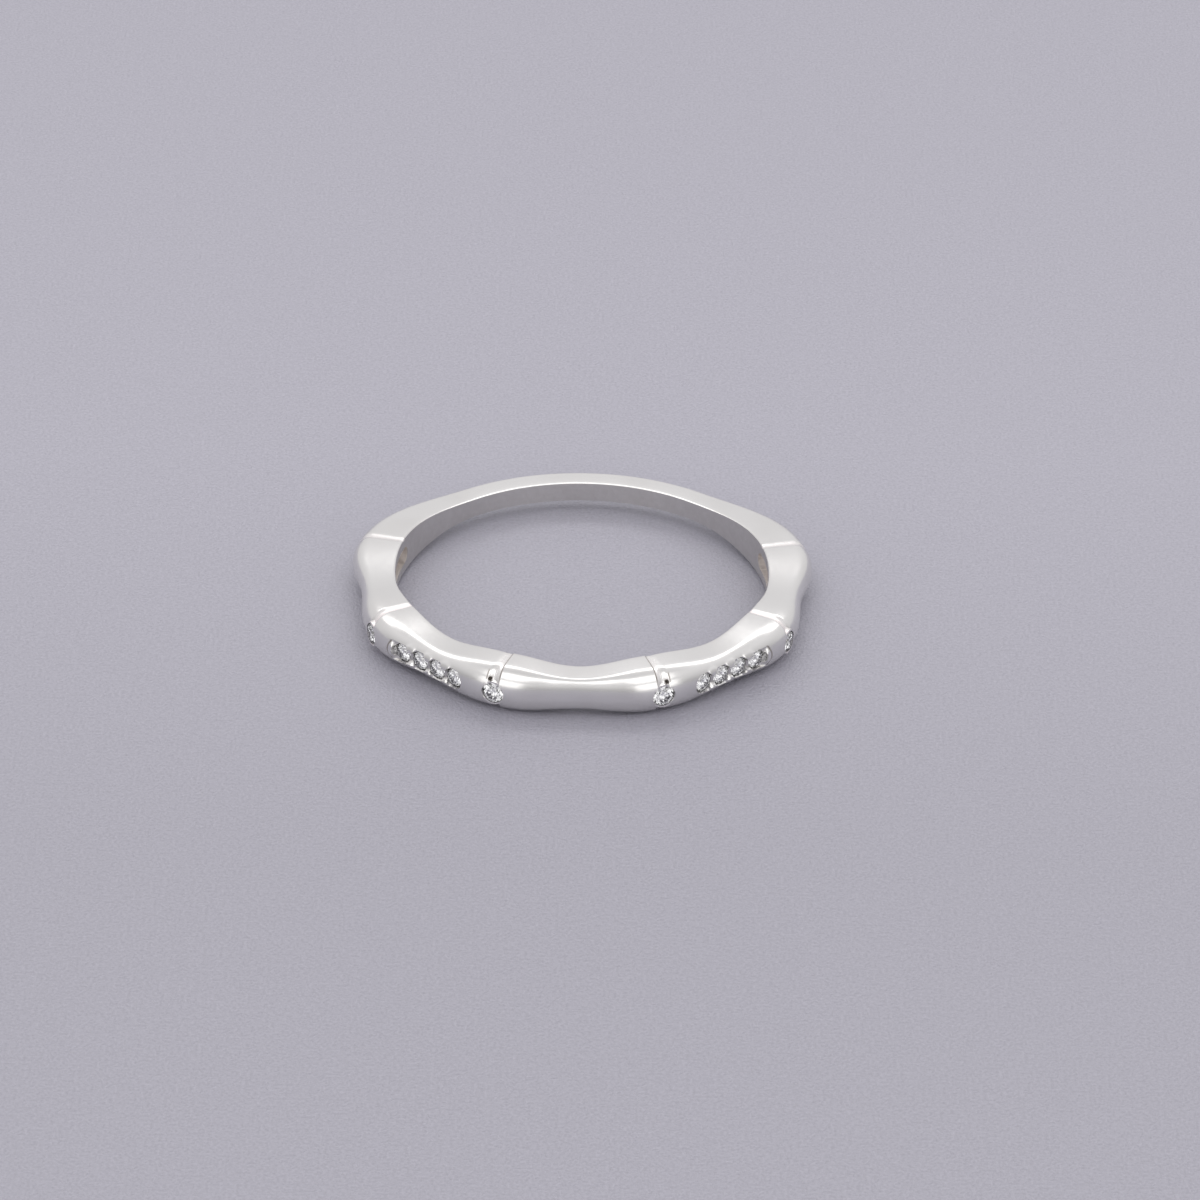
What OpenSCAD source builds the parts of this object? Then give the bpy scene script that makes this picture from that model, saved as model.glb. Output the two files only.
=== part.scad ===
// A cast finger ring of five bone-shaped segments and a plain tapering shank.
// It lies flat with the finger bore upright. The origin is the centre of the bore.
// The front is towards -Y, and angles are measured from the front towards +X.
// All sizes are in millimetres and degrees.

/* [Bore] */
// Inside diameter of the finger bore
bore_d = 17.3; // [15:0.1:20]
// Width of the softened rim where the bore meets the flat faces
rim_ease = 0.1; // [0.05:0.01:0.15]

/* [Joints] */
// Angle from the front to the joints beside the centre bone
joint_1 = 21.5; // [21:0.1:22.5]
// Angle from the front to the joints behind the stone-set bones
joint_2 = 63.5; // [63:0.1:65]
// Angle from the front to the joints where the shank begins
joint_3 = 104.5; // [102:0.1:107]
// Angle that one groove takes up
groove_span = 3.4; // [3:0.1:3.8]
// Depth of the four grooves between the bones in the rounded outer face
groove_depth = 0.12; // [0.06:0.01:0.16]
// Depth of the same grooves in the flat faces
groove_rise = 0.05; // [0.02:0.01:0.08]
// Depth of the two faint grooves at the shank
shank_groove_depth = 0.04; // [0.02:0.01:0.06]
// Radius of the small pit above each stone beside the centre bone
pit_r = 0.09; // [0.06:0.01:0.12]

/* [Section] */
// Share of the wall that the rounded outer face takes up
crown_share = 0.38; // [0.3:0.01:0.42]
// Squareness of the rounded outer face, where 2 is an ellipse
crown_power = 2.1; // [2:0.1:3]

/* [Shank] */
// Half the height of the shank at the back
shank_half = 0.46; // [0.42:0.01:0.6]
// Wall of the shank at the back
shank_wall = 1.36; // [1.2:0.01:1.6]
// Angle from the front at which the shank has its thin section
shank_thin_at = 146; // [135:1:155]

/* [Channel] */
// Half the width of the recessed channel
channel_half = 0.5; // [0.48:0.01:0.54]
// Depth of the channel at its middle
channel_depth = 0.17; // [0.12:0.01:0.2]
// Share of the bone's swell that the channel's floor follows
floor_follow = 0.6; // [0.4:0.05:1]
// Angle from the front to the channel's middle
channel_middle = 42.1; // [41.8:0.1:42.8]
// Angle from the channel's middle to its front end
channel_front = 12.3; // [12:0.1:13]
// Angle from the channel's middle to its back end
channel_back = 13.1; // [12.8:0.1:13.5]
// Angle over which the floor rises at each end
channel_ramp = 1.2; // [0.8:0.1:1.6]
// Radius of the small beads between the stones
bead_r = 0.15; // [0.12:0.01:0.16]
// Radius of the beads at the back end of the channel
end_bead_r = 0.19; // [0.16:0.01:0.22]
// Distance of the beads from the channel's middle line
bead_offset = 0.42; // [0.41:0.01:0.46]

/* [Stones] */
// Girdle diameter of the stones in the channels
small_stone_d = 0.88; // [0.8:0.01:0.91]
// Angle from one stone in a channel to the next
small_stone_pitch = 6; // [5.8:0.1:6.1]
// Girdle diameter of the stones on the joints
joint_stone_d = 1; // [0.9:0.01:1.06]
// Height of the joint stones' middle above the ring's middle
joint_stone_level = -0.06; // [-0.1:0.01:0.05]
// Gap between a stone and its seat
seat_gap = 0.02; // [0.02:0.005:0.025]

/* [Hollows] */
// Half the height of the hollow behind each side bone
hollow_half = 0.42; // [0.3:0.01:0.44]
// Depth of the hollow behind each side bone
hollow_depth = 0.55; // [0.3:0.05:0.7]
// Angle from the front at which the hollow starts
hollow_from = 72; // [70:1:76]
// Angle from the front at which the hollow stops
hollow_to = 105.5; // [102:0.5:110]

/* [Hidden] */

bore_r = bore_d / 2;
// The swept body starts inside the bore, and the bore is cut through it afterwards
sweep_inset = 0.3;
sweep_drop = 0.15;
cut_height = 4;
// How much of a bone's half length its swell takes up before the level knuckle
swell_share = 0.88;
// Angles over which the grooves fall to their full depth: sharp, even and soft
sharp_lip = 0.3;
even_lip = 1.2;
soft_lip = 2;
// Width of the channel's side walls, and the highest share of the half height it may reach
channel_lip = 0.03;
channel_limit = 0.7;

// Columns, three for each: front end, waist and back end.
// First the half height, then the wall, then how much rounder than the rest the outer face is.
centre_bone = [1.11, 0.80, 1.11, 1.95, 1.56, 1.95, 1.32, 0.80, 1.32];
set_bone = [1.08, 0.82, 1.06, 1.95, 1.70, 2.12, 1.30, 1.03, 1.27];
side_bone = [1.03, 0.77, 0.94, 2.02, 1.60, 2.25, 1.30, 1.05, 0.95];
shank = [shank_half, shank_wall, 0.95];

// Rises smoothly from 0 to 1 as t goes from 0 to 1
function ease(t) = (1 - cos(180 * max(0, min(1, t)))) / 2;

// One of a bone's three values at angle a, where first is the front end's column
function along_bone(bone, first, a, from, to) =
    let (middle = (from + to) / 2, half = (to - from) / 2)
    let (tip = a < middle ? bone[first] : bone[first + 2], waist = bone[first + 1])
    waist + (tip - waist) * ease(abs(a - middle) / half / swell_share);

function along_shank(start, thin, a) =
    start + (thin - start) * ease((a - joint_3) / (shank_thin_at - joint_3));

function profile(first, a) =
    a <= joint_1 ? along_bone(centre_bone, first, a, -joint_1, joint_1)
    : a <= joint_2 ? along_bone(set_bone, first, a, joint_1, joint_2)
    : a <= joint_3 ? along_bone(side_bone, first, a, joint_2, joint_3)
    : along_shank(side_bone[first + 2], shank[first / 3], a);

function plain_half(a) = profile(0, abs(a));
function plain_wall(a) = profile(3, abs(a));
function roundness(a) = profile(6, abs(a));

// Share of a groove's depth at angle a: 1 between its lips and 0 outside
function groove_at(a, joint, front_lip, back_lip) =
    let (past = abs(a) - joint, edge = groove_span / 2)
    max(0, min(1, (edge + past) / front_lip, (edge - past) / back_lip));

function bone_groove(a) =
    groove_at(a, joint_1, sharp_lip, soft_lip) + groove_at(a, joint_2, even_lip, even_lip);

function shank_groove(a) = shank_groove_depth * groove_at(a, joint_3, even_lip, even_lip);

// Half height, wall and outer radius of the ring at angle a
function half_height(a) = plain_half(a) - groove_rise * bone_groove(a) - shank_groove(a);
function wall(a) = plain_wall(a) - groove_depth * bone_groove(a) - shank_groove(a);
function outer_r(a) = bore_r + wall(a);

// Radius of the rounded outer face at angle a and height z
function face_r(a, z) =
    let (crown = crown_share * roundness(a) * wall(a), share = min(1, abs(z) / half_height(a)))
    outer_r(a) - crown + crown * pow(1 - pow(share, crown_power), 1 / crown_power);

// Radius and height of the rounded outer face, from q = 90 at the flat face to q = 0
function crown_point(a, q) =
    let (z = half_height(a) * pow(sin(q), 2 / crown_power))
    [face_r(a, z), z];

// Share of the channel's depth at angle a: 1 on its floor and 0 outside
function channel(a) =
    let (past = abs(a) - channel_middle, reach = past > 0 ? channel_back : channel_front)
    max(0, min(1, (reach - abs(past)) / channel_ramp));

// Radius of the channel's floor at angle a
function floor_r(a) =
    let (waist = set_bone[4])
    bore_r + waist + floor_follow * (plain_wall(a) - waist) - channel_depth;

// Angle that the channel's floor leans away from the round at angle a
function floor_lean(a) =
    let (step = 0.5, rise = floor_r(abs(a) + step) - floor_r(abs(a) - step))
    sign(a) * atan(rise / (2 * step * PI / 180) / floor_r(a));

// Upper half of the section at angle a, from the bore to the middle line
corner_steps = [90, 80, 69, 57, 46];
floor_steps = [1, 0.5, 0];
function upper_half(a) =
    let (half = half_height(a), edge = min(channel_half, channel_limit * half))
    concat(
        [[bore_r - sweep_inset, half - sweep_drop], [bore_r + rim_ease, half]],
        [for (q = corner_steps) crown_point(a, q)],
        [[face_r(a, edge), edge]],
        [for (s = floor_steps)
            let (z = s * (edge - channel_lip), plain = face_r(a, z))
            [plain + (min(plain, floor_r(a)) - plain) * channel(a), z]]
    );

// The whole section as radius and height, with the middle line's point once
function section(a) =
    let (upper = upper_half(a), count = len(upper))
    concat(upper, [for (i = [count - 2 : -1 : 0]) [upper[i][0], -upper[i][1]]]);

function placed(point, a) = [point[0] * sin(a), -point[0] * cos(a), point[1]];

// Angles from a to b in equal steps, leaving b out
function steps(a, b, count) = [for (i = [0 : count - 1]) a + (b - a) * i / count];

// Angles at the lips and the middle of one groove, leaving its back edge out
function across_groove(joint, front_lip, back_lip) =
    let (front = joint - groove_span / 2, back = joint + groove_span / 2)
    [front, front + front_lip, (front + front_lip + back - back_lip) / 2, back - back_lip];

half_turn =
    let (edge = groove_span / 2)
    let (start = channel_middle - channel_front, stop = channel_middle + channel_back)
    concat(
        steps(0, joint_1 - edge, 12),
        across_groove(joint_1, sharp_lip, soft_lip),
        steps(joint_1 + edge, start, 4),
        steps(start, start + channel_ramp, 2),
        steps(start + channel_ramp, stop - channel_ramp, 15),
        steps(stop - channel_ramp, stop, 2),
        steps(stop, joint_2 - edge, 4),
        across_groove(joint_2, even_lip, even_lip),
        steps(joint_2 + edge, joint_3 - edge, 20),
        across_groove(joint_3, even_lip, even_lip),
        steps(joint_3 + edge, 180, 18)
    );

stations = concat(
    [for (i = [len(half_turn) - 1 : -1 : 1]) -half_turn[i]],
    half_turn,
    [180]
);

// The metal as one swept solid, still closed where the bore goes
module swept_band() {
    rings = [for (a = stations) section(a)];
    count = len(rings[0]);
    turns = len(stations);
    points = [for (i = [0 : turns - 1]) for (p = rings[i]) placed(p, stations[i])];
    faces = [
        for (i = [0 : turns - 1]) for (j = [0 : count - 1])
            let (next = (i + 1) % turns, up = (j + 1) % count)
            let (a = i * count + j, b = next * count + j)
            let (c = next * count + up, d = i * count + up)
            each [[a, b, c], [a, c, d]]
    ];
    polyhedron(points, faces, convexity = 10);
}

// Puts its children at angle a and this radius, with their Z pointing outwards
module on_face(a, radius, lean = 0, level = 0) {
    rotate([0, 0, a])
        translate([0, -radius, level])
            rotate([90, 0, 0])
                rotate([0, -lean, 0])
                    children();
}

// Proportions of a round brilliant, as shares of its girdle diameter
table_share = 0.57;
star_share = 0.77;
crown_angle = 34.5;
pavilion_angle = 40.8;
keel_share = 0.24;
girdle_share = 0.03;

function crown_height(d) = d * (1 - table_share) / 2 * tan(crown_angle);
function pavilion_depth(d) = d * (girdle_share + tan(pavilion_angle) / 2);

// A round brilliant with its girdle's upper edge at z = 0 and its table upwards
module brilliant(d) {
    r = d / 2;
    crown = crown_height(d);
    girdle = girdle_share * d;
    star_z = r * (1 - star_share * cos(22.5)) * tan(crown_angle);
    keel_z = -girdle - r * (1 - keel_share * cos(22.5)) * tan(pavilion_angle);
    points = concat(
        [for (k = [0 : 7]) [r * table_share * cos(45 * k), r * table_share * sin(45 * k), crown]],
        [for (k = [0 : 7]) let (a = 45 * k + 22.5) [r * star_share * cos(a), r * star_share * sin(a), star_z]],
        [for (k = [0 : 15]) [r * cos(22.5 * k), r * sin(22.5 * k), 0]],
        [for (k = [0 : 15]) [r * cos(22.5 * k), r * sin(22.5 * k), -girdle]],
        [for (k = [0 : 7]) let (a = 45 * k + 22.5) [r * keel_share * cos(a), r * keel_share * sin(a), keel_z]],
        [[0, 0, -pavilion_depth(d)]]
    );
    faces = concat(
        [[for (k = [7 : -1 : 0]) k]],
        [for (k = [0 : 7]) [k, (k + 1) % 8, 8 + k]],
        [for (k = [0 : 7]) each [[k, 8 + k, 16 + 2 * k], [k, 16 + 2 * k, 8 + (k + 7) % 8]]],
        [for (k = [0 : 7]) each [
            [8 + k, 17 + 2 * k, 16 + 2 * k],
            [8 + k, 16 + (2 * k + 2) % 16, 17 + 2 * k]
        ]],
        [for (k = [0 : 15]) each [
            [16 + k, 16 + (k + 1) % 16, 32 + (k + 1) % 16],
            [16 + k, 32 + (k + 1) % 16, 32 + k]
        ]],
        [for (k = [0 : 7]) each [
            [48 + k, 32 + 2 * k, 33 + 2 * k],
            [48 + k, 33 + 2 * k, 32 + (2 * k + 2) % 16]
        ]],
        [for (k = [0 : 7]) each [
            [56, 32 + 2 * k, 48 + k],
            [56, 48 + (k + 7) % 8, 32 + 2 * k]
        ]]
    );
    polyhedron(points, faces, convexity = 4);
}

// The hole that one stone sits in: a cone below the girdle, a short wall around it,
// and a lip of metal over its edge that narrows the opening by this much
seat_floor_r = 0.1;
seat_floor_gap = 0.06;
lip_angle = 50;
module seat(d, lip = 0) {
    r = d / 2 + seat_gap;
    floor_z = -pavilion_depth(d) - seat_floor_gap;
    shoulder_z = -girdle_share * d - seat_gap;
    rotate_extrude($fn = 48)
        polygon([
            [0, floor_z], [seat_floor_r, floor_z], [r, shoulder_z],
            [r, seat_gap], [r - lip, seat_gap + lip * tan(lip_angle)],
            [r - lip, 1], [0, 1]
        ]);
}

// Radii at which the girdles sit
girdle_sink = 0.01;
table_proud = 0.01;
function joint_girdle_r(a) = bore_r + plain_wall(a) + table_proud - crown_height(joint_stone_d);
function small_girdle_r(a) = floor_r(a) - girdle_sink;

small_stone_at = [-1.5, -0.5, 0.5, 1.5] * small_stone_pitch;
small_stone_turn = 11.25;
joint_lip = 0.05;

module joint_stone(side, joint) {
    color([0.93, 0.94, 0.96, 0.6])
        on_face(side * joint, joint_girdle_r(joint), 0, joint_stone_level)
            brilliant(joint_stone_d);
}

module small_stone(side, index) {
    a = channel_middle + small_stone_at[index];
    color([0.9, 0.92, 0.95, 0.6])
        on_face(side * a, small_girdle_r(a), floor_lean(side * a))
            rotate([0, 0, small_stone_turn])
                brilliant(small_stone_d);
}

module seats() {
    for (side = [-1, 1]) {
        for (joint = [joint_1, joint_2])
            on_face(side * joint, joint_girdle_r(joint), 0, joint_stone_level)
                seat(joint_stone_d, joint_lip);
        for (offset = small_stone_at) {
            a = channel_middle + offset;
            on_face(side * a, small_girdle_r(a), floor_lean(side * a))
                seat(small_stone_d);
        }
    }
}

// The pairs of beads that stand along both edges of the channels,
// each as its angle from the channel's middle and its radius
end_bead_back = 0.4;
bead_sink = 0.08;
bead_list = concat(
    [for (i = [-1 : 1]) [i * small_stone_pitch, bead_r]],
    [[2 * small_stone_pitch - end_bead_back, end_bead_r]]
);
module beads() {
    for (side = [-1, 1], level = [-1, 1], bead = bead_list) {
        a = channel_middle + bead[0];
        radius = max(floor_r(a), face_r(a, channel_half) - bead_sink);
        on_face(side * a, radius, 0, level * bead_offset)
            sphere(r = bead[1], $fn = 24);
    }
}

// A small pit over each stone beside the centre bone
pit_level = 0.6;
module pits() {
    for (side = [-1, 1])
        on_face(side * joint_1, face_r(joint_1, pit_level), 0, pit_level)
            sphere(r = pit_r, $fn = 24);
}

// A hollow cut outwards from the bore behind each side bone, with round ends
module hollows() {
    for (side = [-1, 1]) {
        rotate([0, 0, side > 0 ? hollow_from - 90 : -hollow_to - 90])
            rotate_extrude(angle = hollow_to - hollow_from, $fn = 96)
                translate([bore_r - sweep_inset, -hollow_half])
                    square([sweep_inset + hollow_depth, 2 * hollow_half]);
        for (a = [hollow_from, hollow_to])
            rotate([0, 0, side * a])
                translate([0, -bore_r + sweep_inset, 0])
                    rotate([90, 0, 0])
                        cylinder(r = hollow_half, h = sweep_inset + hollow_depth, $fn = 48);
    }
}

module band() {
    color([0.86, 0.86, 0.87])
        difference() {
            union() {
                swept_band();
                beads();
            }
            cylinder(r = bore_r, h = cut_height, center = true, $fn = 192);
            seats();
            pits();
            hollows();
        }
}

band();
joint_stone(-1, joint_1);  // joint_stone_front_left
joint_stone(1, joint_1);  // joint_stone_front_right
joint_stone(-1, joint_2);  // joint_stone_side_left
joint_stone(1, joint_2);  // joint_stone_side_right
small_stone(-1, 0);  // small_stone_left_1
small_stone(-1, 1);  // small_stone_left_2
small_stone(-1, 2);  // small_stone_left_3
small_stone(-1, 3);  // small_stone_left_4
small_stone(1, 0);  // small_stone_right_1
small_stone(1, 1);  // small_stone_right_2
small_stone(1, 2);  // small_stone_right_3
small_stone(1, 3);  // small_stone_right_4
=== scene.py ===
import math
import random

import bmesh
import bpy
from mathutils import Matrix, Vector, noise


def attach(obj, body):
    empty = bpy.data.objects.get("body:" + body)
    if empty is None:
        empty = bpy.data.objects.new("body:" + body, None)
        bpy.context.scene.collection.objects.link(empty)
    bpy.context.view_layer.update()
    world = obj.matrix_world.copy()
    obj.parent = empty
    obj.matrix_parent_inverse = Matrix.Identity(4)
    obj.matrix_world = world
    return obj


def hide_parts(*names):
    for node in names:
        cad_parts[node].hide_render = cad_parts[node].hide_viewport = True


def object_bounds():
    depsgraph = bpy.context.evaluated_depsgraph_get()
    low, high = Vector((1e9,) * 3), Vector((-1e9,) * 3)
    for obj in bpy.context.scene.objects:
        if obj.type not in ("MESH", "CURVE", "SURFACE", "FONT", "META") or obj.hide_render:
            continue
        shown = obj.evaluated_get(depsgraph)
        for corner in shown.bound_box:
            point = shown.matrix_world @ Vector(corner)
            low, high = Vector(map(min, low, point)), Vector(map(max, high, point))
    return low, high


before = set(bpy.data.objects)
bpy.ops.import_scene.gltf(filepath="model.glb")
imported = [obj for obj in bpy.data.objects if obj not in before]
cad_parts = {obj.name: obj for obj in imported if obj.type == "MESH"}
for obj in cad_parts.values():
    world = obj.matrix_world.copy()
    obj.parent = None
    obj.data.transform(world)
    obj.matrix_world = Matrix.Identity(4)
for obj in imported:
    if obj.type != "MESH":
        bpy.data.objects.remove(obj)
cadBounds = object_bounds()
scene = bpy.context.scene
random.seed(7)

mm = 0.001  # pieces are modelled in millimetres and brought to metres at the end
seam = 0.00001  # the ends of a spin that lie nearer than this are joined
closeUp = 0.0002  # and so are the corners that a cut leaves nearer than this


def linkObject(name, mesh):
    thing = bpy.data.objects.new(name, mesh)
    scene.collection.objects.link(thing)
    return thing


def objectFrom(name, bm):
    mesh = bpy.data.meshes.new(name)
    bm.to_mesh(mesh)
    bm.free()
    return linkObject(name, mesh)


def between(low, high, share):
    return low + (high - low) * share


def clamped(value):
    return max(0.0, min(1.0, value))


def ease(share):
    return (1 - math.cos(math.pi * clamped(share))) / 2


# the camera, fitted to the photograph
cameraSpec = {
    "elevation": 30.5,
    "turn": 0.33,  # degrees about Z
    "roll": 0.88,
    "distance": 278 * mm,
    "aimRight": 0.845 * mm,  # where it looks, from the ring's centre
    "aimUp": -0.755 * mm,
    "fieldWidth": 55.762 * mm,  # width seen at the ring
}


def makeCamera(spec):
    lift, roll = math.radians(spec["elevation"]), math.radians(spec["roll"])
    ahead = Vector((0, math.cos(lift), -math.sin(lift)))
    level, upward = Vector((1, 0, 0)), Vector((0, math.sin(lift), math.cos(lift)))
    right = level * math.cos(roll) + upward * math.sin(roll)
    up = upward * math.cos(roll) - level * math.sin(roll)
    place = right * spec["aimRight"] + up * spec["aimUp"] - ahead * spec["distance"]
    turn = Matrix.Rotation(math.radians(spec["turn"]), 4, "Z")
    basis = Matrix((right, up, -ahead)).transposed().to_4x4()
    data = bpy.data.cameras.new("photoCamera")
    data.sensor_width = 36
    data.lens = 36 * spec["distance"] / spec["fieldWidth"]
    data.clip_start, data.clip_end = 0.01, 20
    camera = bpy.data.objects.new("photoCamera", data)
    scene.collection.objects.link(camera)
    camera.matrix_world = turn @ Matrix.Translation(place) @ basis
    scene.camera = camera


makeCamera(cameraSpec)
print("camera set")


def nodeMaterial(name):
    material = bpy.data.materials.new(name)
    material.use_nodes = True
    tree = material.node_tree
    return material, tree, tree.nodes["Principled BSDF"]


def addNode(tree, kind, values=None, **settings):
    node = tree.nodes.new(kind)
    for key, value in settings.items():
        setattr(node, key, value)
    for key, value in (values or {}).items():
        node.inputs[key].default_value = value
    return node


def rampNode(tree, stops):
    ramp = tree.nodes.new("ShaderNodeValToRGB")
    elements = ramp.color_ramp.elements
    for index, (place, colour) in enumerate(stops):
        element = elements[index] if index < 2 else elements.new(place)
        element.position = place
        element.color = colour
    return ramp


def grey(value):
    return (value, value, value, 1)


silverSpec = {
    "bright": (0.81, 0.80, 0.785, 1),
    "dull": (0.775, 0.762, 0.745, 1),
    "toneScale": 300,
    "shadeAndGrime": (0.30, 0.27, 0.245, 1),  # painted shade, with some grime, in the low places
    "shadeGrimeScale": 3200,
    "shadeGrimeThin": 0.75,  # share of the painted shade and grime where it is thinnest
    "shadeGrimeRough": 0.3,
    "frostedAndSheen": (0.95, 0.90, 0.885, 1),  # the dull bottoms of the grooves, a lighter colour that paints in part of the light they catch
    "matteRough": 0.25,
    "roughLow": 0.19,
    "roughHigh": 0.27,
    "scratchScale": 5200,
    "scratchStretch": 5,
    "scratchDepth": 0.0000004,
    "dentScale": 700,
    "dentDepth": 0.000012,
}


def silverMaterial(name, spec, roughen=0.0):
    material, tree, shader = nodeMaterial(name)
    link = tree.links.new
    place = addNode(tree, "ShaderNodeTexCoord")
    mottle = addNode(tree, "ShaderNodeTexNoise", {
        "Scale": spec["toneScale"], "Detail": 3, "Roughness": 0.5})
    link(place.outputs["Object"], mottle.inputs["Vector"])
    tone = rampNode(tree, [(0.32, spec["dull"]), (0.58, spec["bright"])])
    link(mottle.outputs["Fac"], tone.inputs["Fac"])
    # painted shade, with some grime: the base colour is darkened in patches in the bore, creases, pits
    # and low places
    shadeAndGrime = addNode(tree, "ShaderNodeAttribute", attribute_name="shadeAndGrime")
    shadeGrimeLevel = addNode(tree, "ShaderNodeTexNoise", {
        "Scale": spec["shadeGrimeScale"], "Detail": 4, "Roughness": 0.7})
    link(place.outputs["Object"], shadeGrimeLevel.inputs["Vector"])
    patchy = rampNode(tree, [(0.30, grey(spec["shadeGrimeThin"])), (0.62, grey(1))])
    link(shadeGrimeLevel.outputs["Fac"], patchy.inputs["Fac"])
    amount = addNode(tree, "ShaderNodeMath", operation="MULTIPLY")
    link(shadeAndGrime.outputs["Fac"], amount.inputs[0])
    link(patchy.outputs["Color"], amount.inputs[1])
    # the groove bottoms are rougher and take a lighter colour, which paints in part of the light they
    # catch
    matteAndSheen = addNode(tree, "ShaderNodeAttribute", attribute_name="matteAndSheen")
    frostAndSheen = addNode(tree, "ShaderNodeMix", data_type="RGBA")
    link(matteAndSheen.outputs["Fac"], frostAndSheen.inputs[0])
    link(tone.outputs["Color"], frostAndSheen.inputs[6])
    frostAndSheen.inputs[7].default_value = spec["frostedAndSheen"]
    tint = addNode(tree, "ShaderNodeMix", data_type="RGBA")
    link(amount.outputs[0], tint.inputs[0])
    link(frostAndSheen.outputs[2], tint.inputs[6])
    tint.inputs[7].default_value = spec["shadeAndGrime"]
    link(tint.outputs[2], shader.inputs["Base Color"])

    # fine polishing marks, mostly one way, and the soft dents of wear
    stretch = addNode(tree, "ShaderNodeMapping")
    stretch.inputs["Scale"].default_value = (1, 1, spec["scratchStretch"])
    link(place.outputs["Object"], stretch.inputs["Vector"])
    scratch = addNode(tree, "ShaderNodeTexNoise", {
        "Scale": spec["scratchScale"], "Detail": 3, "Roughness": 0.55})
    link(stretch.outputs["Vector"], scratch.inputs["Vector"])
    gloss = addNode(tree, "ShaderNodeMapRange", {
        "From Min": 0.3, "From Max": 0.75,
        "To Min": spec["roughLow"] + roughen, "To Max": spec["roughHigh"] + roughen})
    link(scratch.outputs["Fac"], gloss.inputs["Value"])
    dull = addNode(tree, "ShaderNodeMath", operation="MULTIPLY_ADD")
    dull.inputs[1].default_value = spec["shadeGrimeRough"]
    link(amount.outputs[0], dull.inputs[0])
    coarse = addNode(tree, "ShaderNodeMath", operation="MULTIPLY_ADD")
    coarse.inputs[1].default_value = spec["matteRough"]
    link(matteAndSheen.outputs["Fac"], coarse.inputs[0])
    link(gloss.outputs["Result"], coarse.inputs[2])
    link(coarse.outputs[0], dull.inputs[2])
    link(dull.outputs[0], shader.inputs["Roughness"])
    dents = addNode(tree, "ShaderNodeTexNoise", {
        "Scale": spec["dentScale"], "Detail": 1, "Roughness": 0.4})
    link(place.outputs["Object"], dents.inputs["Vector"])
    soft = addNode(tree, "ShaderNodeBump", {"Strength": 0.35, "Distance": spec["dentDepth"]})
    link(dents.outputs["Fac"], soft.inputs["Height"])
    fine = addNode(tree, "ShaderNodeBump", {"Strength": 0.5, "Distance": spec["scratchDepth"]})
    link(scratch.outputs["Fac"], fine.inputs["Height"])
    link(soft.outputs["Normal"], fine.inputs["Normal"])
    link(fine.outputs["Normal"], shader.inputs["Normal"])
    shader.inputs["Metallic"].default_value = 1
    return material


stoneSpec = {"ior": 2.42, "colour": (0.97, 0.975, 0.98, 1), "haze": 0.03, "cloudScale": 2600}


def stoneMaterial(spec):
    material, tree, shader = nodeMaterial("clearStone")
    link = tree.links.new
    place = addNode(tree, "ShaderNodeTexCoord")
    cloud = addNode(tree, "ShaderNodeTexNoise", {
        "Scale": spec["cloudScale"], "Detail": 3, "Roughness": 0.6})
    link(place.outputs["Object"], cloud.inputs["Vector"])
    haze = addNode(tree, "ShaderNodeMapRange", {
        "From Min": 0.5, "From Max": 0.8, "To Min": 0.0, "To Max": spec["haze"]})
    link(cloud.outputs["Fac"], haze.inputs["Value"])
    link(haze.outputs["Result"], shader.inputs["Roughness"])
    shader.inputs["Base Color"].default_value = spec["colour"]
    shader.inputs["IOR"].default_value = spec["ior"]
    shader.inputs["Transmission Weight"].default_value = 1
    return material


silver = silverMaterial("polishedSilver", silverSpec)
# the rougher metal left from the casting, in the side bones' hollows, its lighter tone painting in the
# light the hollows catch
castPaintedLightSpec = dict(silverSpec, bright=(0.95, 0.91, 0.88, 1), dull=(0.83, 0.78, 0.74, 1), dentDepth=0.00009)
castSilverPaintedLight = silverMaterial("castSilverPaintedLight", castPaintedLightSpec, roughen=0.3)
clearStone = stoneMaterial(stoneSpec)


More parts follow.
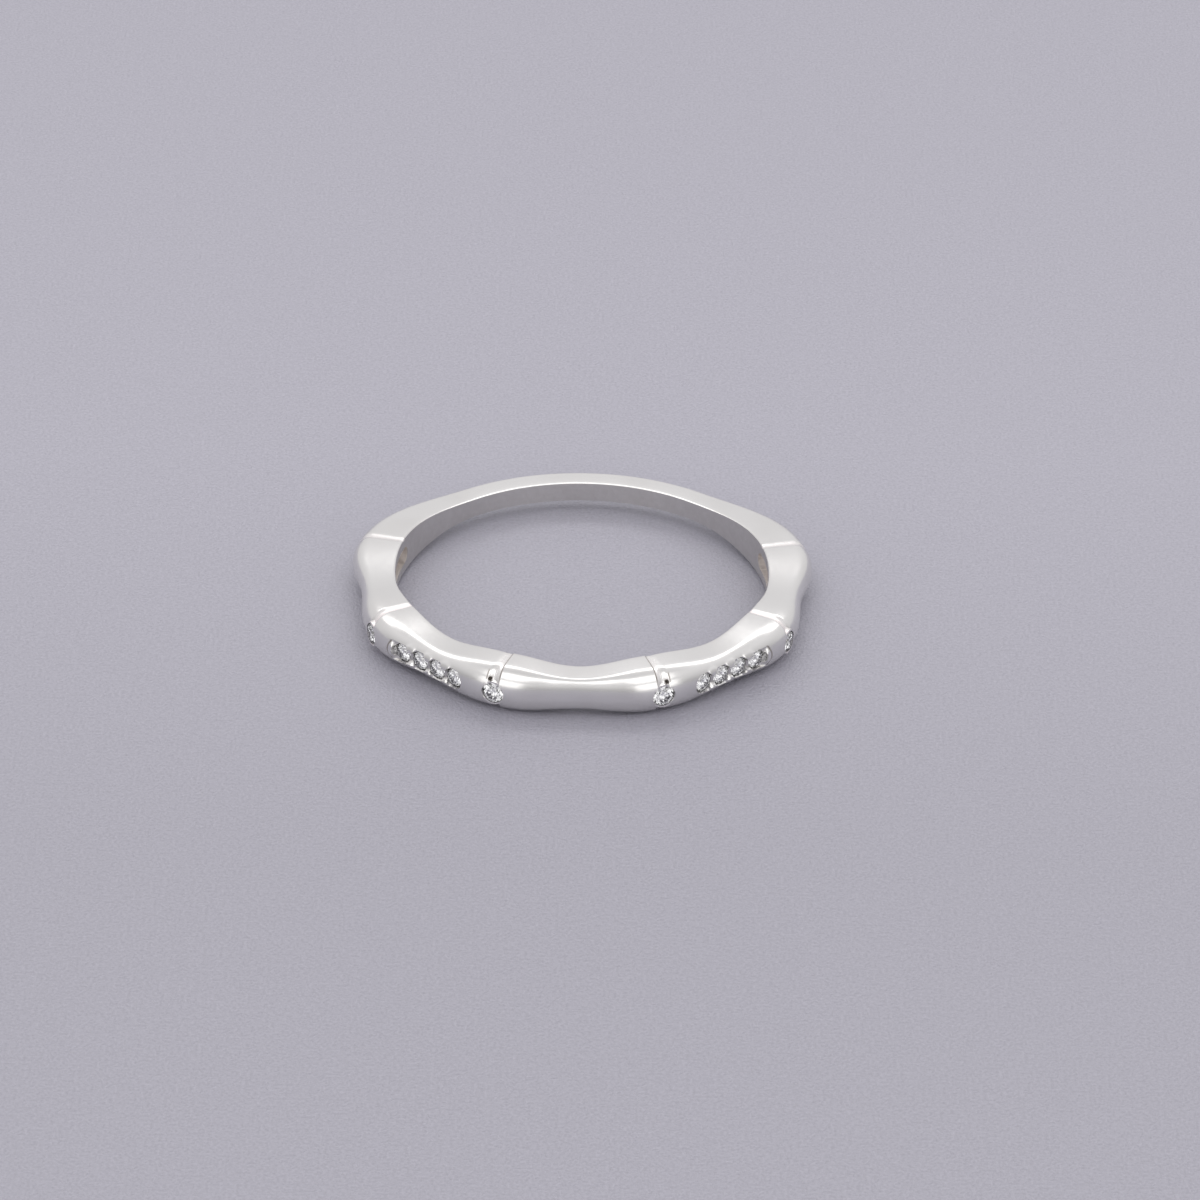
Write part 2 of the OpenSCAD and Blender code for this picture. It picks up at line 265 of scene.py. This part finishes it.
# Angles are in degrees from the middle of the decorated front, sizes in millimetres
bandSpec = {
    "boreRadius": 8.65,
    "joints": (21.5, 63.5, 104.5),
    "grooveSpan": 3.4,
    "grooveDepth": 0.12,
    "grooveRise": 0.05,  # how far it lowers the upper and lower faces
    "shankGroove": 0.03,  # depth of the last groove, where the shank starts
    "faceLips": ((1.6, 1.6), (1.6, 1.6), (1.7, 1.7)),  # front and back lip of each groove
    "topLips": ((0.3, 2.8), (0.6, 2.6), (1.4, 2.0)),
    "creaseAt": 19.95,  # the thin dark line at each end of the centre bone
    "crownShare": 0.38,  # how round the outer face is
    "crownPower": 2.1,
    "swellShare": 0.88,  # share of half a bone over which it swells to its ends
    "thinAt": 146,  # where the shank has its least size
    "channelHalf": 0.5,
    "channelDepth": 0.17,
    "channelMiddle": 42.1,
    "channelReach": (11.5, 12.8),  # from the middle to the front end and to the back end
    "channelRamp": (0.6, 2.3),
    "channelRound": (2.8, 0.9),  # how far its round ends curve inwards, in degrees
    "channelLine": 13.0,  # the thin cut behind the last stone, from the channel's middle
    "lineBow": 0.9,  # degrees that the cut's ends curve towards the stones
    "lineWidth": 0.34,
    "lineSlope": 0.24,
    "lineDepth": 0.05,
    "channelLip": 0.05,
    "floorFollow": 0.6,  # share of the bone's swell that the channel's floor follows
    "rimWidth": (0.14, 0.34),  # at the bones and at the shank
    "rimDepth": (0.1, 0.04),
    "rimEase": 25,  # degrees of the shank over which the rim changes
    "topDome": 0.012,
    "handFinish": 0.006,  # unevenness of a surface finished by hand
    "sharpFrom": 33,
    # each bone's front end, waist and back end
    "half": ((1.11, 0.80, 1.11), (1.08, 0.82, 1.06), (1.03, 0.77, 0.94), 0.49),
    "wall": ((1.95, 1.56, 1.95), (1.95, 1.70, 2.12), (2.02, 1.60, 2.25), 1.36),
    "round": ((1.32, 0.80, 1.32), (1.3, 1.03, 1.27), (1.3, 1.05, 0.95), 0.95),
    # spacing round half the ring: up to this angle in this many steps
    "spacing": ((19.2, 30), (19.65, 4), (20.25, 10), (23.8, 24), (28.8, 10), (31.5, 10), (53.6, 110),
                (55.6, 20), (61.2, 12), (65.8, 26), (102.3, 66), (106.7, 24), (180, 88)),
}


def alongBone(values, angle, start, stop):
    middle, half = (start + stop) / 2, (stop - start) / 2
    tip = values[0] if angle < middle else values[2]
    return values[1] + (tip - values[1]) * ease(abs(angle - middle) / half / bandSpec["swellShare"])


def profileAt(kind, angle):
    angle = abs(angle)
    values = bandSpec[kind]
    starts = (-bandSpec["joints"][0],) + bandSpec["joints"]
    for bone, stop in enumerate(bandSpec["joints"]):
        if angle <= stop:
            return alongBone(values[bone], angle, starts[bone], stop)
    share = (angle - starts[3]) / (bandSpec["thinAt"] - starts[3])
    return between(values[2][2], values[3], ease(share))


def grooveAt(angle, joint, lips):
    past = abs(angle) - bandSpec["joints"][joint]
    edge = bandSpec["grooveSpan"] / 2
    front, back = bandSpec[lips][joint]
    return ease(min((edge + past) / front, (edge - past) / back))


def grooveSize(angle, lips, size):
    deep = grooveAt(angle, 0, lips) + grooveAt(angle, 1, lips)
    return deep * bandSpec[size] + grooveAt(angle, 2, lips) * bandSpec["shankGroove"]


def sizesAt(angle):
    half = profileAt("half", angle) - grooveSize(angle, "topLips", "grooveRise")
    wall = profileAt("wall", angle) - grooveSize(angle, "faceLips", "grooveDepth")
    crown = bandSpec["crownShare"] * profileAt("round", angle) * wall
    return half, bandSpec["boreRadius"] + wall, crown


def faceRadius(sizes, height):
    half, outer, crown = sizes
    power = bandSpec["crownPower"]
    share = min(1, abs(height) / half)
    return outer - crown + crown * (1 - share ** power) ** (1 / power)


# Share of the channel's depth, 1 on its floor and 0 outside its two round ends
def channelShare(angle, height):
    past = abs(angle) - bandSpec["channelMiddle"]
    end = 1 if past > 0 else 0
    inward = 1 - math.sqrt(1 - min(1, abs(height) / bandSpec["channelHalf"]) ** 2)
    reach = bandSpec["channelReach"][end] - bandSpec["channelRound"][end] * inward
    return ease((reach - abs(past)) / bandSpec["channelRamp"][end])


# How far a place lies from the thin cut behind the stones, in degrees
def fromLine(angle, height):
    bow = bandSpec["lineBow"] * (height / bandSpec["channelHalf"]) ** 2
    return abs(abs(angle) - bandSpec["channelMiddle"] - bandSpec["channelLine"] + bow)


def floorRadius(angle):
    waist = bandSpec["wall"][1][1]
    swell = bandSpec["floorFollow"] * (profileAt("wall", angle) - waist)
    return bandSpec["boreRadius"] + waist + swell - bandSpec["channelDepth"]


beadSpec = {
    "size": (0.31, 0.20),  # half its length along the channel, and half its height
    "lowShare": 0.85,  # the lower beads are smaller
    "offset": 0.42,
    "pitch": 6.0,  # degrees from one stone to the next
    "proud": 0.05,
    "reach": 1.3,
    "blend": 0.6,
    "unevenSize": (0.92, 1.08),
    "unevenPlace": (-0.15, 0.15),
    "endSize": (0.22, 0.34),  # the swell of metal behind the last stone
    "endAt": 12.1,  # from the channel's middle
}


# Where metal is left standing between the stones: angle, height, half length and half height
def beadPlaces():
    places = []
    for side in (-1, 1):
        for step in (-1, 0, 1):
            for level in (-1, 1):
                share = random.uniform(*beadSpec["unevenSize"])
                share *= 1 if level > 0 else beadSpec["lowShare"]
                length, tall = beadSpec["size"]
                angle = bandSpec["channelMiddle"] + step * beadSpec["pitch"]
                angle += random.uniform(*beadSpec["unevenPlace"])
                places.append((side * angle, level * beadSpec["offset"], length * share, tall * share))
        places.append((side * (bandSpec["channelMiddle"] + beadSpec["endAt"]), 0) + beadSpec["endSize"])
    return places


beads = beadPlaces()
stoneSteps = (-1.5, -0.5, 0.5, 1.5)  # the channel's stones, in pitches from its middle


def beadShare(angle, height):
    share = 0
    for at, level, length, tall in beads:
        along = math.radians(angle - at) * (bandSpec["boreRadius"] + bandSpec["wall"][1][1])
        away = math.hypot(along / length, (height - level) / tall)
        share = max(share, ease((beadSpec["reach"] - away) / beadSpec["blend"]))
    return share


# Half of the section as radius and height, from the bore's middle to the face's middle, where
# level is 1 for the upper half and -1 for the lower one
def halfSection(angle, level):
    sizes = sizesAt(angle)
    half, outer, crown = sizes
    bore = bandSpec["boreRadius"]
    shankShare = ease((abs(angle) - bandSpec["joints"][2]) / bandSpec["rimEase"])
    rimWidth = between(*bandSpec["rimWidth"], shankShare)
    rimDepth = between(*bandSpec["rimDepth"], shankShare)
    points = [(bore, share * (half - rimDepth)) for share in (0, 0.3, 0.6, 0.85)]
    for turn in (0, 20, 40, 55, 70, 90):
        part = math.radians(turn)
        points.append((bore + rimWidth * (1 - math.cos(part)), half - rimDepth * (1 - math.sin(part))))
    inside = bore + rimWidth
    for share in (0.2, 0.4, 0.6, 0.8, 1):
        points.append((between(inside, outer - crown, share), half - bandSpec["topDome"] * share ** 3))
    root = 2 / bandSpec["crownPower"]
    for turn in (83, 76, 69, 62, 55, 48):
        height = half * math.sin(math.radians(turn)) ** root
        drop = bandSpec["topDome"] * (turn / 90) ** 6
        points.append((faceRadius(sizes, height), height - drop))
    edge = min(bandSpec["channelHalf"], 0.7 * half)
    last = half * math.sin(math.radians(48)) ** root
    for share in (0.3, 0.6, 0.85, 1):
        height = between(last, edge, share)
        proud = beadSpec["proud"] * beadShare(angle, level * height)
        points.append((faceRadius(sizes, height) + proud, height))
    for share in (1, 0.8, 0.6, 0.4, 0.2, 0):
        height = share * (edge - bandSpec["channelLip"])
        plain = faceRadius(sizes, height)
        sunk = min(plain, floorRadius(angle))
        nearLine = bandSpec["lineWidth"] - fromLine(angle, height)
        cut = bandSpec["lineDepth"] * ease(nearLine / bandSpec["lineSlope"]) if share < 1 else 0
        bead = beadShare(angle, level * height)
        radius = between(plain, sunk, channelShare(angle, height) * (1 - bead)) - cut
        points.append((radius + beadSpec["proud"] * bead, height))
    return [(radius, level * height) for radius, height in points]


def wholeSection(angle):
    return halfSection(angle, 1) + halfSection(angle, -1)[-2:0:-1]


def spacedAngle(step, total):
    side = 1 if step >= 0 else -1
    left = abs(step)
    start = 0
    for stop, count in bandSpec["spacing"]:
        if left <= count:
            return side * between(start, stop, left / count)
        left -= count
        start = stop
    return side * 180


# A wire section is spun into a ring, and each of its stations then takes the section that the
# ring has at that angle
def bandMesh():
    half = sum(count for stop, count in bandSpec["spacing"])
    sections = {step: wholeSection(spacedAngle(step, half)) for step in range(-half + 1, half + 1)}
    rows = len(sections[0])
    bm = bmesh.new()
    row = bm.verts.layers.int.new("row")
    bmesh.ops.create_circle(bm, segments=rows, radius=1)
    bm.verts.ensure_lookup_table()
    for index, vert in enumerate(bm.verts):
        vert[row] = index
        part = 2 * math.pi * index / rows
        vert.co = (0, -10 + math.cos(part), math.sin(part))
    bmesh.ops.spin(bm, geom=bm.verts[:] + bm.edges[:], axis=(0, 0, 1), cent=(0, 0, 0),
                   angle=2 * math.pi, steps=2 * half, use_merge=True)
    for vert in bm.verts:
        turn = math.atan2(vert.co.x, -vert.co.y)
        step = round(turn / math.pi * half)
        if step <= -half:
            step = half
        angle = math.radians(spacedAngle(step, half))
        radius, height = sections[step][vert[row]]
        spot = Vector((radius * math.sin(angle), -radius * math.cos(angle), height))
        if radius > bandSpec["boreRadius"] + 0.05:
            spot *= 1 + bandSpec["handFinish"] * noise.noise(spot * 0.9) / radius
        vert.co = spot
    bmesh.ops.recalc_face_normals(bm, faces=bm.faces)
    return bm


def placedOut(bm, verts, angle, radius, lean=0.0, level=0.0):
    turn = Matrix.Rotation(math.radians(angle), 4, "Z") @ Matrix.Translation((0, -radius, level))
    turn = turn @ Matrix.Rotation(math.radians(90), 4, "X")
    turn = turn @ Matrix.Rotation(math.radians(-lean), 4, "Y")
    bmesh.ops.transform(bm, matrix=turn, verts=verts)


def floorLean(angle):
    step = 0.5
    side = 1 if angle > 0 else -1
    rise = floorRadius(abs(angle) + step) - floorRadius(abs(angle) - step)
    return side * math.degrees(math.atan(rise / math.radians(2 * step) / floorRadius(angle)))


seatSpec = {
    "gap": 0.02,
    "girdleShare": 0.03,
    "pavilionAngle": 40.8,
    "crownAngle": 34.5,
    "tableShare": 0.57,
    "floorRadius": 0.1,
    "floorGap": 0.06,
    "lipAngle": 50,
    "smallStone": 0.88,
    "jointStone": 1.0,
    "jointLip": 0.03,
    "jointFlare": 0.09,
    "jointLevel": -0.06,  # the joint stones sit a little below the middle
    "collar": (0.66, 0.58, 0.4, 0.05),  # radius at each end, depth, and height above the girdle
    "tableProud": 0.01,  # of the joint stones, past the bottom of the groove
    "girdleSink": 0.01,  # of the channel's stones, under its floor
    "flare": 0.06,
    "flareTop": 0.22,
    "cutTop": 1,
    "sides": 72,
}


def seatCutter(size, lip, flare):
    spec = seatSpec
    radius = size / 2 + spec["gap"]
    pavilion = math.tan(math.radians(spec["pavilionAngle"])) / 2
    floor = -size * (spec["girdleShare"] + pavilion) - spec["floorGap"]
    outline = [(0, floor), (spec["floorRadius"], floor)]
    outline.append((radius, -spec["girdleShare"] * size - spec["gap"]))
    outline.append((radius, spec["gap"]))
    if lip:
        outline.append((radius - lip, spec["gap"] + lip * math.tan(math.radians(spec["lipAngle"]))))
    outline.append((radius + flare, spec["flareTop"]))
    outline.append((radius + flare, spec["cutTop"]))
    outline.append((0, spec["cutTop"]))
    bm = bmesh.new()
    verts = [bm.verts.new((x, 0, z)) for x, z in outline]
    edges = [bm.edges.new(pair) for pair in zip(verts, verts[1:])]
    bmesh.ops.spin(bm, geom=verts + edges, axis=(0, 0, 1), cent=(0, 0, 0),
                   angle=2 * math.pi, steps=spec["sides"], use_merge=True)
    bmesh.ops.remove_doubles(bm, verts=bm.verts, dist=seam)
    bmesh.ops.recalc_face_normals(bm, faces=bm.faces)
    return bm


def jointGirdle(joint):
    crown = seatSpec["jointStone"] * (1 - seatSpec["tableShare"]) / 2
    crown *= math.tan(math.radians(seatSpec["crownAngle"]))
    return bandSpec["boreRadius"] + profileAt("wall", joint) + seatSpec["tableProud"] - crown


# Low collars of metal that the joint stones sit in, filling the groove above and below them
def collarObjects():
    made = []
    inner, outer, depth, proud = seatSpec["collar"]
    for side in (-1, 1):
        for joint in bandSpec["joints"][:2]:
            bm = bmesh.new()
            bmesh.ops.create_cone(bm, cap_ends=True, segments=96, radius1=inner, radius2=outer,
                                  depth=depth)
            placedOut(bm, bm.verts, side * joint, jointGirdle(joint) + proud - depth / 2, 0,
                      seatSpec["jointLevel"])
            made.append(objectFrom("collar", bm))
    return made


def seatObjects():
    made = []
    for side in (-1, 1):
        for joint in bandSpec["joints"][:2]:
            bm = seatCutter(seatSpec["jointStone"], seatSpec["jointLip"], seatSpec["jointFlare"])
            placedOut(bm, bm.verts, side * joint, jointGirdle(joint), 0, seatSpec["jointLevel"])
            made.append(objectFrom("jointSeat", bm))
        for step in stoneSteps:
            angle = bandSpec["channelMiddle"] + step * beadSpec["pitch"]
            bm = seatCutter(seatSpec["smallStone"], 0, seatSpec["flare"])
            placedOut(bm, bm.verts, side * angle, floorRadius(angle) - seatSpec["girdleSink"],
                      floorLean(side * angle))
            made.append(objectFrom("smallSeat", bm))
    return made


# A small pit above each front joint stone, this many degrees behind the joint
pitSpec = {"radius": 0.085, "level": 0.6, "back": 1.0, "deep": 2.4}


def pitObjects():
    made = []
    angle = bandSpec["joints"][0] + pitSpec["back"]
    for side in (-1, 1):
        bm = bmesh.new()
        ball = bmesh.ops.create_icosphere(bm, subdivisions=3, radius=pitSpec["radius"])["verts"]
        bmesh.ops.scale(bm, vec=(1, 1, pitSpec["deep"]), verts=ball)
        placedOut(bm, ball, side * angle, faceRadius(sizesAt(angle), pitSpec["level"]), 0,
                  pitSpec["level"])
        made.append(objectFrom("pit", bm))
    return made


# The shallow hollow inside each side bone, from one angle to the other
hollowSpec = {"start": 72, "stop": 105.5, "half": 0.42, "depth": 0.55, "inset": 0.3}


def hollowObjects():
    made = []
    spec = hollowSpec
    low, high = bandSpec["boreRadius"] - spec["inset"], bandSpec["boreRadius"] + spec["depth"]
    for side in (-1, 1):
        bm = bmesh.new()
        half = spec["half"]
        corners = ((low, -half), (high, -half), (high, half), (low, half))
        verts = [bm.verts.new((0, -radius, height)) for radius, height in corners]
        face = bm.faces.new(verts)
        bmesh.ops.rotate(bm, verts=verts, cent=(0, 0, 0),
                         matrix=Matrix.Rotation(math.radians(side * spec["start"]), 3, "Z"))
        sweep = math.radians(side * (spec["stop"] - spec["start"]))
        bmesh.ops.spin(bm, geom=[face], axis=(0, 0, 1), cent=(0, 0, 0), angle=sweep, steps=75)
        bmesh.ops.remove_doubles(bm, verts=bm.verts, dist=seam)
        bmesh.ops.recalc_face_normals(bm, faces=bm.faces)
        made.append(objectFrom("hollow", bm))
        for angle in (spec["start"], spec["stop"]):
            bm = bmesh.new()
            tall = high - low
            bmesh.ops.create_cone(bm, cap_ends=True, segments=64, radius1=half, radius2=half, depth=tall)
            placedOut(bm, bm.verts, side * angle, (low + high) / 2)
            made.append(objectFrom("hollowEnd", bm))
    for thing in made:
        thing.data.materials.append(castSilverPaintedLight)
    return made


def applyBoolean(body, tools, operation):
    group = bpy.data.collections.new("tools")
    for tool in tools:
        group.objects.link(tool)
    step = body.modifiers.new("step", "BOOLEAN")
    step.operation = operation
    step.operand_type = "COLLECTION"
    step.collection = group
    step.solver = "EXACT"
    step.material_mode = "TRANSFER"
    graph = bpy.context.evaluated_depsgraph_get()
    mesh = bpy.data.meshes.new_from_object(body.evaluated_get(graph))
    body.modifiers.clear()
    body.data = mesh
    for tool in tools:
        bpy.data.objects.remove(tool)
    bpy.data.collections.remove(group)


# The cuts leave a few edges of almost no length, which are closed up. The few faces that are lost
# with them are made again, in the metal of the face beside them
def mendCuts(mesh):
    bm = bmesh.new()
    bm.from_mesh(mesh)
    bmesh.ops.remove_doubles(bm, verts=bm.verts[:], dist=closeUp)
    bmesh.ops.dissolve_degenerate(bm, edges=bm.edges[:], dist=closeUp)
    bmesh.ops.delete(bm, geom=[edge for edge in bm.edges if edge.is_wire], context="EDGES")
    bmesh.ops.delete(bm, geom=[vert for vert in bm.verts if not vert.link_faces], context="VERTS")
    rims = [edge for edge in bm.edges if edge.is_boundary]
    for face in bmesh.ops.holes_fill(bm, edges=rims, sides=0)["faces"]:
        beside = [other for edge in face.edges for other in edge.link_faces if other != face]
        face.material_index = beside[0].material_index
    bmesh.ops.triangulate(bm, faces=[face for face in bm.faces if len(face.verts) > 4])
    left = sum(edge.is_boundary for edge in bm.edges)
    print("cuts mended:", len(rims), "edges were open and", left, "are now")
    bm.to_mesh(mesh)
    bm.free()


def seatSpots():
    middle, pitch = bandSpec["channelMiddle"], beadSpec["pitch"]
    spots = [(middle + step * pitch, 0, seatSpec["smallStone"] / 2) for step in stoneSteps]
    for joint in bandSpec["joints"][:2]:
        spots.append((joint, seatSpec["jointLevel"], seatSpec["jointStone"] / 2))
    return spots


shadeAndWearSpec = {
    "matteAndSheen": (0.2, 1.0, 0.55),  # how dull the bottom of each groove is, and how much painted sheen it takes
    "inside": 0.38,  # painted shade, with some grime, on the bore, which lies within this skin of its radius
    "skin": 0.005,
    "creaseFrom": 0.5,  # the crease's painted shade starts at this height, above the stone
    "creaseFade": 0.25,
    "creaseWidth": 0.16,
    "markAt": 23.3,  # a short dark mark beside each pit
    "markHeights": (0.6, 0.9),
    "pitReach": 1.05,
    "lowHalf": 0.65,  # low places up to this height, from this depth to that
    "lowFrom": 0.01,
    "lowFull": 0.12,
    "lowShadeGrime": 0.3,
    "seatEdge": 0.03,
    "seatShadeGrime": 0.05,
    "lineShadeGrime": (0.32, 0.12),
}


# Painted shade, with some grime, inside the bore, in the thin crease at the centre bone's ends, the
# pits, the line behind the stones and the low places between them; and the dull bottoms of the grooves,
# lighter as painted sheen
def markShadeAndWear(mesh):
    shadeAndGrime = mesh.attributes.new("shadeAndGrime", "FLOAT", "POINT")
    matteAndSheen = mesh.attributes.new("matteAndSheen", "FLOAT", "POINT")
    spots = seatSpots()
    low, high = shadeAndWearSpec["markHeights"]
    for index, vert in enumerate(mesh.vertices):
        x, y, z = vert.co
        angle = abs(math.degrees(math.atan2(x, -y)))
        radius = math.hypot(x, y)
        # painted shade, with some grime, over the whole bore
        if radius < bandSpec["boreRadius"] + shadeAndWearSpec["skin"]:
            shadeAndGrime.data[index].value = shadeAndWearSpec["inside"]
            continue
        matteAndSheen.data[index].value = sum(grooveAt(angle, joint, "topLips") * share
                                      for joint, share in enumerate(shadeAndWearSpec["matteAndSheen"]))
        if angle > bandSpec["joints"][1] + 3:
            continue
        sunk = faceRadius(sizesAt(angle), z) - radius
        # painted shade along the thin crease at each end of the centre bone, above the stone
        amount = clamped(1.8 - abs(angle - bandSpec["creaseAt"]) / shadeAndWearSpec["creaseWidth"])
        amount *= clamped((z - shadeAndWearSpec["creaseFrom"]) / shadeAndWearSpec["creaseFade"])
        if low < z < high:
            fromMark = abs(angle - shadeAndWearSpec["markAt"])
            amount = max(amount, clamped(1.5 - fromMark / shadeAndWearSpec["creaseWidth"]))
        pitAngle = bandSpec["joints"][0] + pitSpec["back"]
        pitAway = math.hypot(math.radians(angle - pitAngle) * radius, z - pitSpec["level"])
        # the pits are painted fully dark, as shade
        if pitAway < pitSpec["radius"] * shadeAndWearSpec["pitReach"]:
            amount = 1
        # painted shade in the low places, darker the deeper they are sunk, and only a little in the
        # seats
        if abs(z) < shadeAndWearSpec["lowHalf"] and sunk > shadeAndWearSpec["lowFrom"]:
            edge = shadeAndWearSpec["seatEdge"]
            inSeat = any(math.hypot(math.radians(angle - at) * radius, z - level) < reach + edge
                         for at, level, reach in spots)
            shadeGrimeLevel = shadeAndWearSpec["lowShadeGrime"] * clamped(sunk / shadeAndWearSpec["lowFull"])
            amount = max(amount, shadeAndWearSpec["seatShadeGrime"] if inSeat else shadeGrimeLevel)
        # painted shade along the thin cut behind the stones
        if abs(z) < bandSpec["channelHalf"]:
            width, slope = shadeAndWearSpec["lineShadeGrime"]
            amount = max(amount, clamped((width - fromLine(angle, z)) / slope))
        shadeAndGrime.data[index].value = amount


def makeBand():
    body = objectFrom("silverBand", bandMesh())
    body.data.materials.append(silver)
    print("band swept:", len(body.data.polygons), "faces")
    applyBoolean(body, collarObjects(), "UNION")
    print("collars joined:", len(body.data.polygons), "faces")
    applyBoolean(body, seatObjects() + pitObjects() + hollowObjects(), "DIFFERENCE")
    print("seats cut:", len(body.data.polygons), "faces")
    mesh = body.data
    mendCuts(mesh)
    markShadeAndWear(mesh)
    mesh.transform(Matrix.Scale(mm, 4))
    mesh.shade_smooth()
    mesh.set_sharp_from_angle(angle=math.radians(bandSpec["sharpFrom"]))
    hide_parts("band")
    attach(body, "root")
    return body


band = makeBand()


def dressStones():
    for name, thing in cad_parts.items():
        if "stone" in name:
            thing.data.materials.clear()
            thing.data.materials.append(clearStone)


dressStones()
print("stones dressed")


floorSpec = {
    "reach": 3.0,
    "colour": (0.428, 0.418, 0.482, 1),
    "dark": (0.358, 0.349, 0.405, 1),
    "grainSize": 0.00014,
    "grainDepth": 0.0001,
    "wrinkleSize": 0.0006,
    "wrinkleDepth": 0.00005,
    "squeeze": 1.6,  # wrinkles are this much longer across than from front to back
    "bumpStrength": 0.6,
    "roughness": 0.45,
    "specular": 0.9,
    "paintedShade": ((-0.020, 0.89), (0.014, 1.01)),  # painted shade: the floor's tone in front of the ring and behind it, darker in front for the ring's shadow and the back light's fall-off
}


def makeFloor(spec, level):
    bm = bmesh.new()
    bmesh.ops.create_grid(bm, x_segments=1, y_segments=1, size=spec["reach"])
    bmesh.ops.translate(bm, vec=(0, 0, level), verts=bm.verts)
    floor = objectFrom("floor", bm)
    material, tree, shader = nodeMaterial("floorCard")
    link = tree.links.new
    place = addNode(tree, "ShaderNodeTexCoord")
    grain = addNode(tree, "ShaderNodeTexNoise", {
        "Scale": 1 / spec["grainSize"], "Detail": 3, "Roughness": 0.6})
    link(place.outputs["Object"], grain.inputs["Vector"])
    tone = rampNode(tree, [(0.35, spec["dark"]), (0.65, spec["colour"])])
    link(grain.outputs["Fac"], tone.inputs["Fac"])
    parts = addNode(tree, "ShaderNodeSeparateXYZ")
    link(place.outputs["Object"], parts.inputs["Vector"])
    # painted shade: the floor's colour is darkened towards the front
    (near, nearTone), (far, farTone) = spec["paintedShade"]
    paintedShade = addNode(tree, "ShaderNodeMapRange", {
        "From Min": near, "From Max": far, "To Min": nearTone, "To Max": farTone})
    link(parts.outputs["Y"], paintedShade.inputs["Value"])
    shaded = addNode(tree, "ShaderNodeMix", {0: 1.0}, data_type="RGBA", blend_type="MULTIPLY")
    link(tone.outputs["Color"], shaded.inputs[6])
    link(paintedShade.outputs["Result"], shaded.inputs[7])
    link(shaded.outputs[2], shader.inputs["Base Color"])
    squeeze = addNode(tree, "ShaderNodeMapping")
    squeeze.inputs["Scale"].default_value = (1, spec["squeeze"], 1)
    link(place.outputs["Object"], squeeze.inputs["Vector"])
    wrinkles = addNode(tree, "ShaderNodeTexNoise", {
        "Scale": 1 / spec["wrinkleSize"], "Detail": 2, "Roughness": 0.5})
    link(squeeze.outputs["Vector"], wrinkles.inputs["Vector"])
    folds = addNode(tree, "ShaderNodeBump", {
        "Strength": spec["bumpStrength"], "Distance": spec["wrinkleDepth"]})
    link(wrinkles.outputs["Fac"], folds.inputs["Height"])
    bump = addNode(tree, "ShaderNodeBump", {
        "Strength": spec["bumpStrength"], "Distance": spec["grainDepth"]})
    link(folds.outputs["Normal"], bump.inputs["Normal"])
    link(grain.outputs["Fac"], bump.inputs["Height"])
    link(bump.outputs["Normal"], shader.inputs["Normal"])
    shader.inputs["Roughness"].default_value = spec["roughness"]
    shader.inputs["Specular IOR Level"].default_value = spec["specular"]
    floor.data.materials.append(material)


lampColour = (1, 0.99, 0.98)
lightSpec = [
    # name, direction it stands in, distance, width and height, brightness
    ("backBox", (0.0, 0.56, 0.83), 0.35, (0.62, 0.10), 1.35),
    ("leftHigh", (-0.306, -0.489, 0.82), 0.35, (0.20, 0.19), 1.0),
    ("rightHigh", (0.306, -0.489, 0.82), 0.35, (0.20, 0.19), 1.0),
    ("leftLow", (-0.50, -0.80, 0.27), 0.35, (0.22, 0.175), 0.95),
    ("rightLow", (0.50, -0.80, 0.27), 0.35, (0.22, 0.175), 0.95),
]


def makeLights(spec):
    for name, direction, distance, size, bright in spec:
        data = bpy.data.lights.new(name, "AREA")
        data.shape = "RECTANGLE"
        data.size, data.size_y = size
        data.energy = bright * math.pi * size[0] * size[1]
        data.color = lampColour
        lamp = bpy.data.objects.new(name, data)
        scene.collection.objects.link(lamp)
        facing = Vector(direction).normalized()
        level = Vector((0, 0, 1)).cross(facing).normalized()
        basis = Matrix((level, facing.cross(level), facing)).transposed().to_4x4()
        lamp.matrix_world = Matrix.Translation(facing * distance) @ basis


# how bright the studio is by height, from straight down (0) to straight up (1)
worldSpec = {
    "behind": ((0.0, 0.5), (0.5, 0.74), (0.6, 0.78), (0.75, 0.83), (0.85, 0.92), (0.93, 0.82),
               (1.0, 0.74)),
    "front": ((0.0, 0.3), (0.5, 0.44), (0.6, 0.54), (0.72, 0.72), (0.85, 0.78), (1.0, 0.72)),
    "tint": (1, 0.99, 1.01),
    "blend": 0.5,
}


def makeWorld(spec):
    world = bpy.data.worlds.new("studio")
    world.use_nodes = True
    scene.world = world
    tree = world.node_tree
    link = tree.links.new
    place = addNode(tree, "ShaderNodeTexCoord")
    split = addNode(tree, "ShaderNodeSeparateXYZ")
    link(place.outputs["Generated"], split.inputs["Vector"])
    lift = addNode(tree, "ShaderNodeMapRange", {"From Min": -1, "From Max": 1, "To Min": 0, "To Max": 1})
    link(split.outputs["Z"], lift.inputs["Value"])
    depth = addNode(tree, "ShaderNodeMapRange", {
        "From Min": -spec["blend"], "From Max": spec["blend"]}, interpolation_type="SMOOTHSTEP")
    link(split.outputs["Y"], depth.inputs["Value"])
    mix = addNode(tree, "ShaderNodeMix", data_type="RGBA")
    link(depth.outputs["Result"], mix.inputs[0])
    for socket, side in ((6, "front"), (7, "behind")):
        stops = [(at, tuple(value * part for part in spec["tint"]) + (1,))
                 for at, value in spec[side]]
        ramp = rampNode(tree, stops)
        link(lift.outputs["Result"], ramp.inputs["Fac"])
        link(ramp.outputs["Color"], mix.inputs[socket])
    link(mix.outputs[2], tree.nodes["Background"].inputs["Color"])


makeFloor(floorSpec, cadBounds[0].z)
makeLights(lightSpec)
makeWorld(worldSpec)
scene.view_settings.view_transform = "Standard"
print("stage and lights set")
